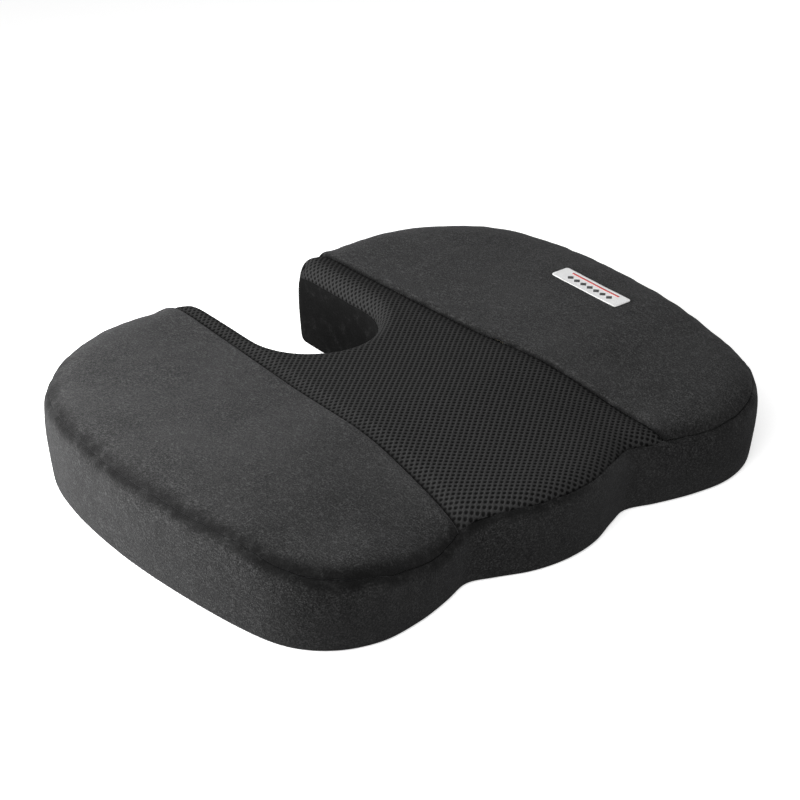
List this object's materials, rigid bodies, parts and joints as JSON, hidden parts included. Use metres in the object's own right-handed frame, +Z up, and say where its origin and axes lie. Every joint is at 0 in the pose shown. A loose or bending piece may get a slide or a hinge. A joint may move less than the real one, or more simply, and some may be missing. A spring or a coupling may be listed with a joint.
{
  "type": "seat cushion",
  "caption": "U-shaped contoured seat cushion with a foam core, velour and mesh cover, scalloped leg edge and zipped non-slip underside.",
  "frame": {"origin": "middle of the cushion's box on the plane that its underside rests on", "axes": "+X across the two thigh lobes towards the lobe with the label, -Y towards the scalloped leg edge, +Y towards the notch, +Z up"},
  "size_m": [0.4416, 0.3556, 0.07],
  "materials": {
    "foam": "open-cell memory foam, cream",
    "velour": "short-pile charcoal velour with a soft sheen",
    "spacer_mesh": "black three-layer spacer mesh with staggered oval holes",
    "grip_fabric": "black woven fabric with a grid of rubber grip dots",
    "zip_tape": "black woven zip tape",
    "zip_coil": "black nylon coil",
    "zip_metal": "black enamelled zinc",
    "label_satin": "white woven satin with a plain diamond motif",
    "label_thread": "pale grey polyester thread"
  },
  "bodies": {
    "cushion": {"foam_core": "foam", "left_top_panel": "velour", "centre_mesh_panel": "spacer_mesh", "right_top_panel": "velour", "side_band": "velour", "notch_band": "velour", "bottom_panel_front": "grip_fabric", "bottom_panel_rear": "grip_fabric", "zip_tape_front": "zip_tape", "zip_tape_rear": "zip_tape", "zip_coil_front": "zip_coil", "zip_coil_rear": "zip_coil", "zip_stop_left": "zip_metal", "zip_stop_right": "zip_metal", "label": "label_satin", "label_stitching": "label_thread"},
    "slider": {"zip_slider": "zip_metal"},
    "pull": {"zip_pull": "zip_metal"}
  },
  "joints": [
    {"name": "zip_slide", "type": "slide", "parent": "cushion", "child": "slider", "axis": [1, 0, 0], "range_m": [0, 0.36]},
    {"name": "pull_swing", "type": "hinge", "parent": "slider", "child": "pull", "pos_m": [-0.18, -0.012, 0.0021], "axis": [0, 1, 0], "range_deg": [0, 178]}
  ]
}
